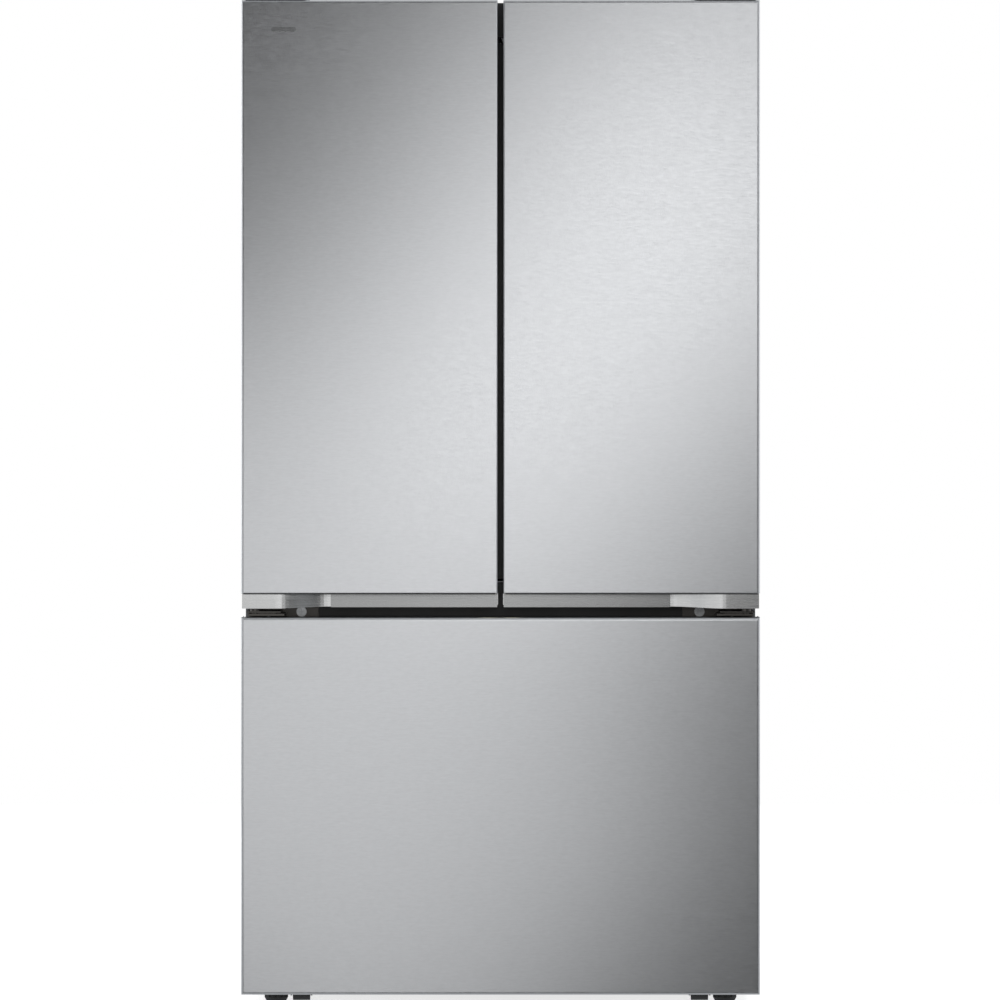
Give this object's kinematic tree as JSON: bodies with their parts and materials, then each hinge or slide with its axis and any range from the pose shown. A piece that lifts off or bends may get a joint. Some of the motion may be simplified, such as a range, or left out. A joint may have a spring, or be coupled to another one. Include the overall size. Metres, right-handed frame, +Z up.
{
  "type": "french door refrigerator",
  "caption": "Steel refrigerator with two upper doors, a flap behind their gap, a lower freezer drawer, recessed grips, glass shelves, bins, cooling circuit, rollers and feet.",
  "frame": {"origin": "on the floor under the middle of the object's box", "axes": "+Z up, the door fronts face -Y, and +X is to the right for someone who faces the doors"},
  "size_m": [0.908, 0.733, 1.789],
  "materials": {
    "door_steel": "fine horizontal brushed grain",
    "satin_strip": "satin silver",
    "case_paint": "fine textured dark grey",
    "rear_sheet": "plain grey",
    "frame_steel": "galvanised",
    "hinge_steel": "satin dark grey",
    "foam": "rigid foam",
    "liner": "soft gloss white",
    "gasket": "matt grey",
    "dark_trim": "fine textured dark",
    "clear_bin": "clear",
    "shelf_glass": "clear",
    "shelf_trim": "soft gloss",
    "slide_steel": "zinc plated",
    "lamp_lens": "diffuse white",
    "black_rubber": "moulded black",
    "compressor_black": "black paint",
    "coil": "dark",
    "evaporator_metal": "plain",
    "fan_plastic": "moulded",
    "fitting": "plain",
    "screw_steel": "plated",
    "badge_metal": "satin"
  },
  "bodies": {
    "cabinet": {"cabinet_shell": "case_paint", "rear_panel": "rear_sheet", "cabinet_foam": "foam", "fridge_liner": "liner", "freezer_liner": "liner", "centre_rail": "dark_trim", "base_frame": "frame_steel", "machine_cover": "dark_trim", "compressor": "compressor_black", "condenser": "coil", "drain_pan": "fan_plastic", "top_hinges": "hinge_steel", "hinge_covers": "dark_trim", "middle_hinges": "hinge_steel", "evaporator": "evaporator_metal", "evaporator_cover": "liner", "air_duct": "liner", "ceiling_housing": "liner", "ceiling_lamp": "lamp_lens", "flap_guide": "liner", "shelf_rails": "slide_steel", "shelf_frames": "shelf_trim", "shelf_panes": "shelf_glass", "crispers": "clear_bin", "outer_slides": "slide_steel", "upper_freezer_drawer": "clear_bin", "water_valve": "fitting", "case_screws": "screw_steel"},
    "left_door": {"left_door_skin": "door_steel", "left_door_foam": "foam", "left_door_liner": "liner", "left_door_gasket": "gasket", "left_door_top_cap": "dark_trim", "left_door_handle_cap": "satin_strip", "left_door_baskets": "clear_bin", "door_badge": "badge_metal", "flap_brackets": "hinge_steel"},
    "right_door": {"right_door_skin": "door_steel", "right_door_foam": "foam", "right_door_liner": "liner", "right_door_gasket": "gasket", "right_door_top_cap": "dark_trim", "right_door_handle_cap": "satin_strip", "right_door_baskets": "clear_bin"},
    "mullion_flap": {"mullion_flap": "dark_trim"},
    "freezer_drawer": {"freezer_skin": "door_steel", "freezer_door_foam": "foam", "freezer_door_liner": "liner", "freezer_gasket": "gasket", "freezer_handle_cap": "dark_trim", "freezer_bottom_cap": "dark_trim", "freezer_basket": "clear_bin", "inner_slides": "slide_steel"},
    "middle_slides": {"middle_slides": "slide_steel"},
    "condenser_fan": {"condenser_fan": "fan_plastic"},
    "evaporator_fan": {"evaporator_fan": "fan_plastic"},
    "front_rollers": {"front_rollers": "black_rubber"},
    "rear_rollers": {"rear_rollers": "black_rubber"},
    "left_levelling_leg": {"left_levelling_leg": "black_rubber"},
    "right_levelling_leg": {"right_levelling_leg": "black_rubber"}
  },
  "joints": [
    {"name": "left_door_swing", "type": "hinge", "parent": "cabinet", "child": "left_door", "pos_m": [-0.43, -0.3499, 1.2], "axis": [0, 0, -1], "range_deg": [0, 110]},
    {"name": "right_door_swing", "type": "hinge", "parent": "cabinet", "child": "right_door", "pos_m": [0.43, -0.3499, 1.2], "axis": [0, 0, 1], "range_deg": [0, 110]},
    {"name": "mullion_flap_fold", "type": "hinge", "parent": "left_door", "child": "mullion_flap", "pos_m": [-0.034, -0.2704, 1.2], "axis": [0, 0, 1], "range_deg": [0, 90]},
    {"name": "freezer_drawer_slide", "type": "slide", "parent": "cabinet", "child": "freezer_drawer", "axis": [0, -1, 0], "range_m": [0, 0.42]},
    {"name": "middle_slides_travel", "type": "slide", "parent": "cabinet", "child": "middle_slides", "axis": [0, -1, 0], "range_m": [0, 0.21]},
    {"name": "condenser_fan_spin", "type": "hinge", "parent": "cabinet", "child": "condenser_fan", "pos_m": [0.196, 0.245, 0.137], "axis": [1, 0, 0], "continuous": true},
    {"name": "evaporator_fan_spin", "type": "hinge", "parent": "cabinet", "child": "evaporator_fan", "pos_m": [0, 0.2695, 0.5645], "axis": [0, 1, 0], "continuous": true},
    {"name": "front_rollers_spin", "type": "hinge", "parent": "cabinet", "child": "front_rollers", "pos_m": [0, -0.2379, 0.018], "axis": [1, 0, 0], "continuous": true},
    {"name": "rear_rollers_spin", "type": "hinge", "parent": "cabinet", "child": "rear_rollers", "pos_m": [0, 0.3085, 0.018], "axis": [1, 0, 0], "continuous": true},
    {"name": "left_leg_turn", "type": "hinge", "parent": "cabinet", "child": "left_levelling_leg", "pos_m": [-0.399, -0.2379, 0.02], "axis": [0, 0, 1], "continuous": true},
    {"name": "right_leg_turn", "type": "hinge", "parent": "cabinet", "child": "right_levelling_leg", "pos_m": [0.399, -0.2379, 0.02], "axis": [0, 0, 1], "continuous": true}
  ],
  "couplings": [
    {"joint": "middle_slides_travel", "follows": "freezer_drawer_slide", "ratio": 0.5}
  ]
}
